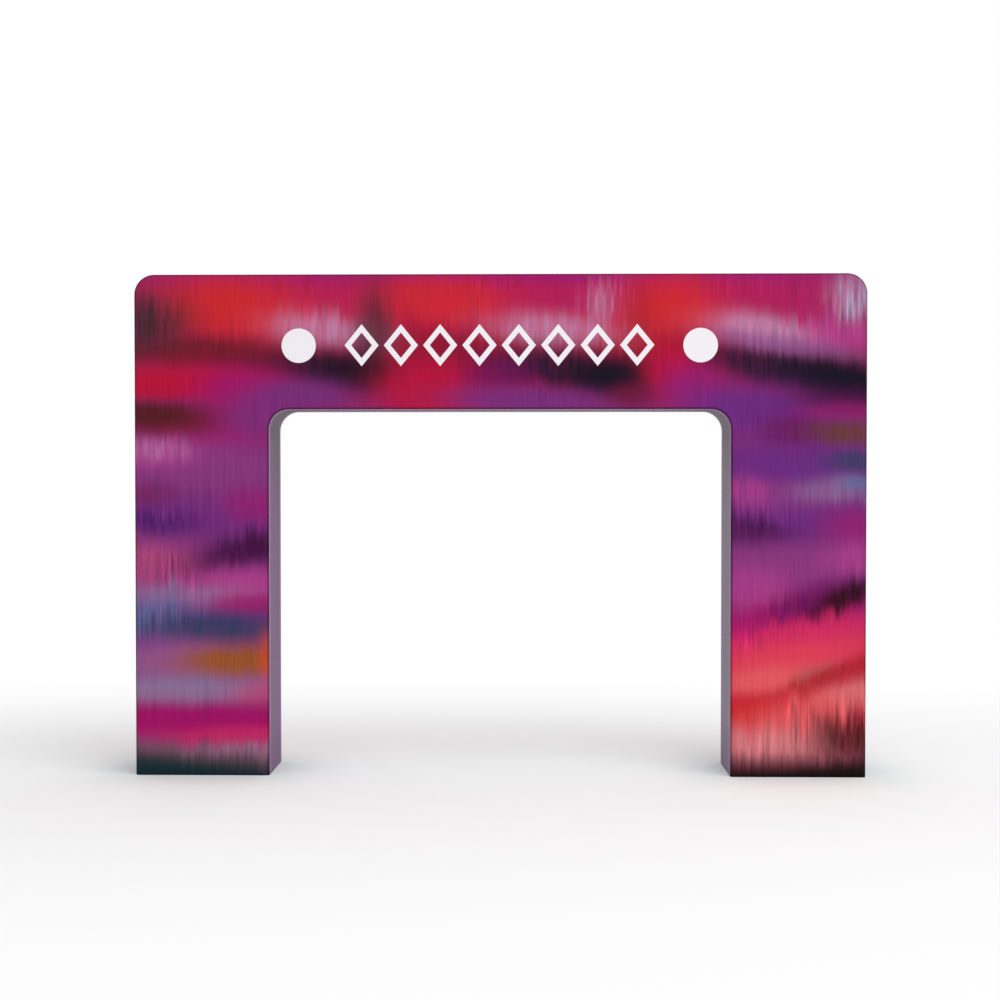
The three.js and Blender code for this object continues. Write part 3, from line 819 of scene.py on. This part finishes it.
def makeBandTree():
    tree, given, out = newGroup("clothBand", "GeometryNodeTree",
                                [("Geometry", "NodeSocketGeometry"), ("Half Width", number),
                                 ("Top", number), ("Bend Radius", number), ("Strip Width", number),
                                 ("Rows", "NodeSocketInt"), ("Columns", "NodeSocketInt"),
                                 ("Dip", number), ("Dip Reach", number),
                                 ("Cloth", "NodeSocketMaterial")],
                                [("Geometry", "NodeSocketGeometry")])
    cornerCount = 4
    corners = addNode(tree, "GeometryNodeMeshLine", {"Count": cornerCount})
    fromMiddle = maths(tree, "SUBTRACT", addNode(tree, "GeometryNodeInputIndex").outputs[0],
                       (cornerCount - 1) / 2)
    cornerX = maths(tree, "MULTIPLY", maths(tree, "SIGN", fromMiddle), given["Half Width"])
    isTop = maths(tree, "LESS_THAN", maths(tree, "ABSOLUTE", fromMiddle), 1.0)
    corner = addNode(tree, "ShaderNodeCombineXYZ",
                     {0: cornerX, 1: 0.0, 2: maths(tree, "MULTIPLY", isTop, given["Top"])})
    placed = addNode(tree, "GeometryNodeSetPosition",
                     {"Geometry": corners.outputs[0], "Position": corner.outputs[0]})
    line = addNode(tree, "GeometryNodeMeshToCurve", {0: placed.outputs[0]})
    rounded = addNode(tree, "GeometryNodeFilletCurve",
                      {"Curve": line.outputs[0], "Radius": given["Bend Radius"],
                       "Count": band["bendPoints"]}, mode="POLY")
    strip = addNode(tree, "GeometryNodeMeshGrid",
                    {"Size X": 1.0, "Size Y": 1.0, "Vertices X": given["Rows"],
                     "Vertices Y": given["Columns"]})
    at = addNode(tree, "ShaderNodeSeparateXYZ",
                 {0: addNode(tree, "GeometryNodeInputPosition").outputs[0]}).outputs
    along = maths(tree, "ADD", at[0], 0.5)
    half = maths(tree, "DIVIDE", given["Strip Width"], 2.0)
    swing = maths(tree, "COSINE", maths(tree, "MULTIPLY", maths(tree, "ADD", at[1], 0.5), math.pi))
    across = maths(tree, "MULTIPLY", maths(tree, "MULTIPLY", swing, half), -1.0)
    sample = addNode(tree, "GeometryNodeSampleCurve", {"Curves": rounded.outputs[0], "Factor": along},
                     mode="FACTOR")
    heading = addNode(tree, "ShaderNodeSeparateXYZ", {0: sample.outputs["Tangent"]}).outputs
    outward = addNode(tree, "ShaderNodeCombineXYZ",
                      {0: maths(tree, "MULTIPLY", heading[2], -1.0), 1: 0.0, 2: heading[0]}).outputs[0]
    fromSeam = maths(tree, "DIVIDE", maths(tree, "SUBTRACT", half, maths(tree, "ABSOLUTE", across)),
                     given["Dip Reach"])
    squared = maths(tree, "MULTIPLY", fromSeam, fromSeam)
    fade = maths(tree, "EXPONENT", maths(tree, "MULTIPLY", squared, -1.0))
    dip = addNode(tree, "ShaderNodeVectorMath",
                  {0: outward, "Scale": maths(tree, "MULTIPLY", fade, given["Dip"])}, operation="SCALE")
    sideways = addNode(tree, "ShaderNodeCombineXYZ", {0: 0.0, 1: across, 2: 0.0}).outputs[0]
    place = vectorMaths(tree, "ADD", vectorMaths(tree, "ADD", sample.outputs["Position"], sideways),
                        dip.outputs[0])
    length = maths(tree, "MULTIPLY", along, addNode(tree, "GeometryNodeCurveLength",
                                                    {0: rounded.outputs[0]}).outputs[0])
    flat = addNode(tree, "ShaderNodeCombineXYZ", {0: length, 1: across, 2: 0.0}).outputs[0]
    marked = addNode(tree, "GeometryNodeStoreNamedAttribute",
                     {"Geometry": strip.outputs[0], "Name": "clothUV", "Value": flat},
                     data_type="FLOAT2", domain="CORNER")
    bent = addNode(tree, "GeometryNodeSetPosition",
                   {"Geometry": marked.outputs[0], "Position": place})
    smooth = addNode(tree, "GeometryNodeSetShadeSmooth", {0: bent.outputs[0]})
    whole = addNode(tree, "GeometryNodeRealizeInstances", {0: smooth.outputs[0]})
    finished = addNode(tree, "GeometryNodeSetMaterial", {"Geometry": whole.outputs[0],
                                                         "Material": given["Cloth"]})
    tree.links.new(finished.outputs[0], out["Geometry"])
    return tree


def plainMesh(made):
    evaluated = made.evaluated_get(bpy.context.evaluated_depsgraph_get())
    mesh = bpy.data.meshes.new_from_object(evaluated)
    made.modifiers.clear()
    made.data = mesh
    mesh.name = made.name
    return made


def nodesObject(name, tree, values, mesh=None):
    made = linkObject(name, mesh or bpy.data.meshes.new(name))
    modifier = made.modifiers.new(name, "NODES")
    modifier.node_group = tree
    setInputs(modifier, values)
    return made


bandTree = makeBandTree()


def makeBand(name, hoop):
    side = hoop["clothSide"]
    middle = arch["wrap"] - arch["cloth"] / 2
    length = 2 * (hoop["top"] + side * middle) + 2 * hoop["halfWidth"]
    made = nodesObject(name, bandTree, {
        "Half Width": hoop["halfWidth"] + side * middle, "Top": hoop["top"] + side * middle,
        "Bend Radius": hoop["bend"] + side * middle, "Strip Width": 2 * (hoopY - arch["gap"]),
        "Rows": int(length / band["rowLength"]), "Columns": band["columns"],
        "Dip": -side * band["seamDip"], "Dip Reach": band["seamDipReach"], "Cloth": plainCloth})
    thick = made.modifiers.new("thickness", "SOLIDIFY")
    thick.thickness, thick.offset = arch["cloth"], 0.0
    plainMesh(made)
    bm = bmesh.new()
    bm.from_mesh(made.data)
    bmesh.ops.recalc_face_normals(bm, faces=bm.faces)
    bm.to_mesh(made.data)
    bm.free()
    return made


outerBand = makeBand("outerBand", outerHoop)
innerBand = makeBand("innerBand", innerHoop)
print("bands made")


# Stitching

stitching = {
    "pitch": 0.0052,
    "length": 0.0040,
    "thickness": 0.0011,
    "fromSeam": 0.0040,
    "hemHeights": (0.020, 0.026),
    "hemTurns": 6,
    "legRows": 4,
    "bendRows": 16,
    "beamRows": 4,
}


def makeStitchTree():
    tree, given, out = newGroup("stitchRow", "GeometryNodeTree",
                                [("Geometry", "NodeSocketGeometry"), ("Pitch", number),
                                 ("Stitch Length", number), ("Thickness", number),
                                 ("Thread", "NodeSocketMaterial")],
                                [("Geometry", "NodeSocketGeometry")])
    line = addNode(tree, "GeometryNodeMeshToCurve", {0: given["Geometry"]})
    points = addNode(tree, "GeometryNodeCurveToPoints", {"Curve": line.outputs[0],
                                                         "Length": given["Pitch"]}, mode="LENGTH")
    stitch = addNode(tree, "GeometryNodeMeshIcoSphere", {"Radius": 0.5, "Subdivisions": 1})
    size = addNode(tree, "ShaderNodeCombineXYZ", {0: given["Thickness"], 1: given["Thickness"],
                                                  2: given["Stitch Length"]})
    placed = addNode(tree, "GeometryNodeInstanceOnPoints",
                     {"Points": points.outputs["Points"], "Instance": stitch.outputs[0],
                      "Rotation": points.outputs["Rotation"], "Scale": size.outputs[0]})
    whole = addNode(tree, "GeometryNodeRealizeInstances", {0: placed.outputs[0]})
    smooth = addNode(tree, "GeometryNodeSetShadeSmooth", {0: whole.outputs[0]})
    finished = addNode(tree, "GeometryNodeSetMaterial", {"Geometry": smooth.outputs[0],
                                                         "Material": given["Thread"]})
    tree.links.new(finished.outputs[0], out["Geometry"])
    return tree


stitchTree = makeStitchTree()


def makeStitching(name, lines, thread):
    bm = bmesh.new()
    for line in lines:
        verts = [bm.verts.new(point) for point in line]
        for first, second in zip(verts, verts[1:]):
            bm.edges.new((first, second))
    made = nodesObject(name, stitchTree, {
        "Pitch": stitching["pitch"], "Stitch Length": stitching["length"],
        "Thickness": stitching["thickness"], "Thread": thread}, meshFrom(name + "Lines", bm))
    return plainMesh(made)


# The rows along a seam start and end a stitch above the floor.
def seamStations(hoop):
    stations = hoopStations(hoop, stitching["legRows"], stitching["bendRows"], stitching["beamRows"])
    return [(x, max(z, stitching["length"]), angle) for x, z, angle in stations]


def panelLines(face):
    turn = stitching["fromSeam"] / arch["wrap"]
    lines = [[clothPoint(hoop, s, arch["wrap"], turn, face) for s in seamStations(hoop)]
             for hoop in (outerHoop, innerHoop)]
    steps = stitching["hemTurns"]
    turns = [i * math.pi / (2 * steps) for i in range(1, steps + 1)]
    for height in stitching["hemHeights"]:
        for end, angle in ((-1, math.pi), (1, 0)):
            outer, inner = [(end * hoop["halfWidth"], height, angle) for hoop in (outerHoop, innerHoop)]
            lines.append([clothPoint(outerHoop, outer, arch["wrap"], t, face) for t in turns]
                         + [clothPoint(innerHoop, inner, arch["wrap"], t, face) for t in turns[::-1]])
    return lines


def bandLines(hoop):
    reach = hoopY - arch["gap"] - stitching["fromSeam"]
    lines = []
    for side in (-1, 1):
        places = [clothPoint(hoop, s, arch["wrap"], 0.0) for s in seamStations(hoop)]
        lines.append([Vector((p.x, side * reach, p.z)) for p in places])
    for height in stitching["hemHeights"]:
        for end in (-1, 1):
            x = end * (hoop["halfWidth"] + hoop["clothSide"] * arch["wrap"])
            lines.append([Vector((x, -reach, height)), Vector((x, reach, height))])
    return lines


frontStitching = makeStitching("frontPanelStitching", panelLines(-1), darkThread)
backStitching = makeStitching("backPanelStitching", panelLines(1), darkThread)
outerStitching = makeStitching("outerBandStitching", bandLines(outerHoop), lilacThread)
innerStitching = makeStitching("innerBandStitching", bandLines(innerHoop), lilacThread)
print("stitching made")


# The frame keeps its CAD shape and gets its metal and coat.

for name, node in frame["nodes"].items():
    finish = {"tube": tubeMetal, "base_plate": plateCoat}.get(
        next((s["material_slot"] for s in frame["record"]["subparts"] if s["node"] == name), ""))
    if finish:
        for slot in node.material_slots:
            slot.material = finish


for piece, nodeName, stitches, cut, word, slotName in (
    (frontPanel, "front_panel", frontStitching, panel, "_front_", "printed_cloth"),
    (backPanel, "back_panel", backStitching, panel, "_back_", "printed_cloth"),
    (outerBand, "outer_band", outerStitching, band["outer"], "outer_", "plain_cloth"),
    (innerBand, "inner_band", innerStitching, band["inner"], "inner_", "plain_cloth"),
):
    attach(piece, "root")
    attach(stitches, "root")
    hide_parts(nodeName)


# Floor, light and camera

white = (1.0, 1.0, 1.0, 1.0)
studio = {
    "floorHalf": 30.0,
    "floorHeight": -0.0005,
    "floorBounce": (0.93, 0.93, 0.93, 1.0),
    "floorShown": (0.88, 0.88, 0.88, 1.0),
    "fadeEnd": 4.2,
    "fadeSide": 0.35,  # how much slower the white comes in to the side
    "fadeFront": 0.75,
    "fadeMiddle": -0.5,  # where the floor is least white, from side to side
    # painted shadow round the feet, with a slight green tint against the pink light bounced from the cloth
    "contactShade": (0.86, 0.90, 0.89, 1.0),
    "contactReach": 0.26,
    "worldStrength": 0.81,
    "keyPlace": (4.0, -5.0, 11.5),
    "keyAim": (0.0, 0.0, 0.8),
    "keySize": 8.0,
    "keyPower": 530.0,
    "lens": 52.945,
    "sensor": 36.0,
    "cameraPlace": (0.1587, -8.996, 1.8142),
    "cameraTurn": (88.949, 0.0, 1.005),  # degrees
}


def cameraOrGloss(tree):
    path = tree.nodes.new("ShaderNodeLightPath").outputs
    return maths(tree, "MAXIMUM", path["Is Camera Ray"],
                 maths(tree, "MAXIMUM", path["Is Glossy Ray"], path["Is Transmission Ray"]))


# How close a point of the floor is to the nearer foot.
def nearFeet(tree, place):
    middle = arch["halfWidth"] - arch["legWidth"] / 2
    fromFoot = maths(tree, "ABSOLUTE", maths(tree, "SUBTRACT", maths(tree, "ABSOLUTE", place[0]), middle))
    side = maths(tree, "MAXIMUM", maths(tree, "SUBTRACT", fromFoot, arch["legWidth"] / 2), 0.0)
    fromFace = maths(tree, "SUBTRACT", maths(tree, "ABSOLUTE", place[1]), halfDepth)
    ahead = maths(tree, "MAXIMUM", fromFace, 0.0)
    away = vectorMaths(tree, "LENGTH", addNode(tree, "ShaderNodeCombineXYZ", {0: side, 1: ahead}).outputs[0])
    share = maths(tree, "DIVIDE", away, studio["contactReach"])
    return maths(tree, "EXPONENT", maths(tree, "MULTIPLY", maths(tree, "MULTIPLY", share, share), -1.0))


def makeFloor():
    bm = bmesh.new()
    bmesh.ops.create_grid(bm, x_segments=1, y_segments=1, size=studio["floorHalf"])
    floor = linkObject("floor", meshFrom("floor", bm))
    floor.location.z = studio["floorHeight"]
    material = bpy.data.materials.new("paleFloor")
    tree = emptyTree(material)
    seen = cameraOrGloss(tree)
    place = addNode(tree, "ShaderNodeSeparateXYZ",
                    {0: addNode(tree, "ShaderNodeTexCoord").outputs["Object"]}).outputs
    # Painted shadow: the floor is darkened round the feet, with a slight green tint that offsets the pink
    # light bounced from the cloth.
    shown = mixColour(tree, nearFeet(tree, place), studio["floorShown"], studio["contactShade"], "MULTIPLY")
    diffuse = addNode(tree, "ShaderNodeBsdfDiffuse", {
        "Color": mixColour(tree, seen, studio["floorBounce"], shown)})
    glow = addNode(tree, "ShaderNodeEmission", {"Color": white, "Strength": 1.0})
    fromMiddle = maths(tree, "SUBTRACT", place[0], studio["fadeMiddle"])
    side = maths(tree, "MULTIPLY", fromMiddle, studio["fadeSide"])
    back = maths(tree, "MAXIMUM", place[1], maths(tree, "MULTIPLY", place[1], -studio["fadeFront"]))
    away = vectorMaths(tree, "LENGTH", addNode(tree, "ShaderNodeCombineXYZ", {0: side, 1: back}).outputs[0])
    fade = maths(tree, "MULTIPLY", ramp(tree, away, 0.0, studio["fadeEnd"]), seen)
    mixed = addNode(tree, "ShaderNodeMixShader", {0: fade, 1: diffuse.outputs[0], 2: glow.outputs[0]})
    addNode(tree, "ShaderNodeOutputMaterial", {0: mixed.outputs[0]})
    floor.data.materials.append(material)


def makeWorld():
    world = bpy.data.worlds.new("studio")
    bpy.context.scene.world = world
    tree = emptyTree(world)
    fill = addNode(tree, "ShaderNodeBackground", {"Color": white, "Strength": studio["worldStrength"]})
    backdrop = addNode(tree, "ShaderNodeBackground", {"Color": white, "Strength": 1.0})
    mixed = addNode(tree, "ShaderNodeMixShader", {0: cameraOrGloss(tree), 1: fill.outputs[0],
                                                  2: backdrop.outputs[0]})
    addNode(tree, "ShaderNodeOutputWorld", {0: mixed.outputs[0]})


def makeKeyLight():
    data = bpy.data.lights.new("softBox", "AREA")
    data.shape, data.size, data.energy = "SQUARE", studio["keySize"], studio["keyPower"]
    light = linkObject("softBox", data)
    light.location = studio["keyPlace"]
    aim = Vector(studio["keyPlace"]) - Vector(studio["keyAim"])
    light.rotation_euler = aim.to_track_quat("Z", "Y").to_euler()


def makeCamera():
    data = bpy.data.cameras.new("camera")
    data.lens, data.sensor_width = studio["lens"], studio["sensor"]
    camera = linkObject("camera", data)
    camera.location = studio["cameraPlace"]
    camera.rotation_euler = [math.radians(angle) for angle in studio["cameraTurn"]]
    bpy.context.scene.camera = camera


makeFloor()
makeWorld()
makeKeyLight()
makeCamera()
bpy.context.scene.view_settings.view_transform = "Standard"
print("studio made")
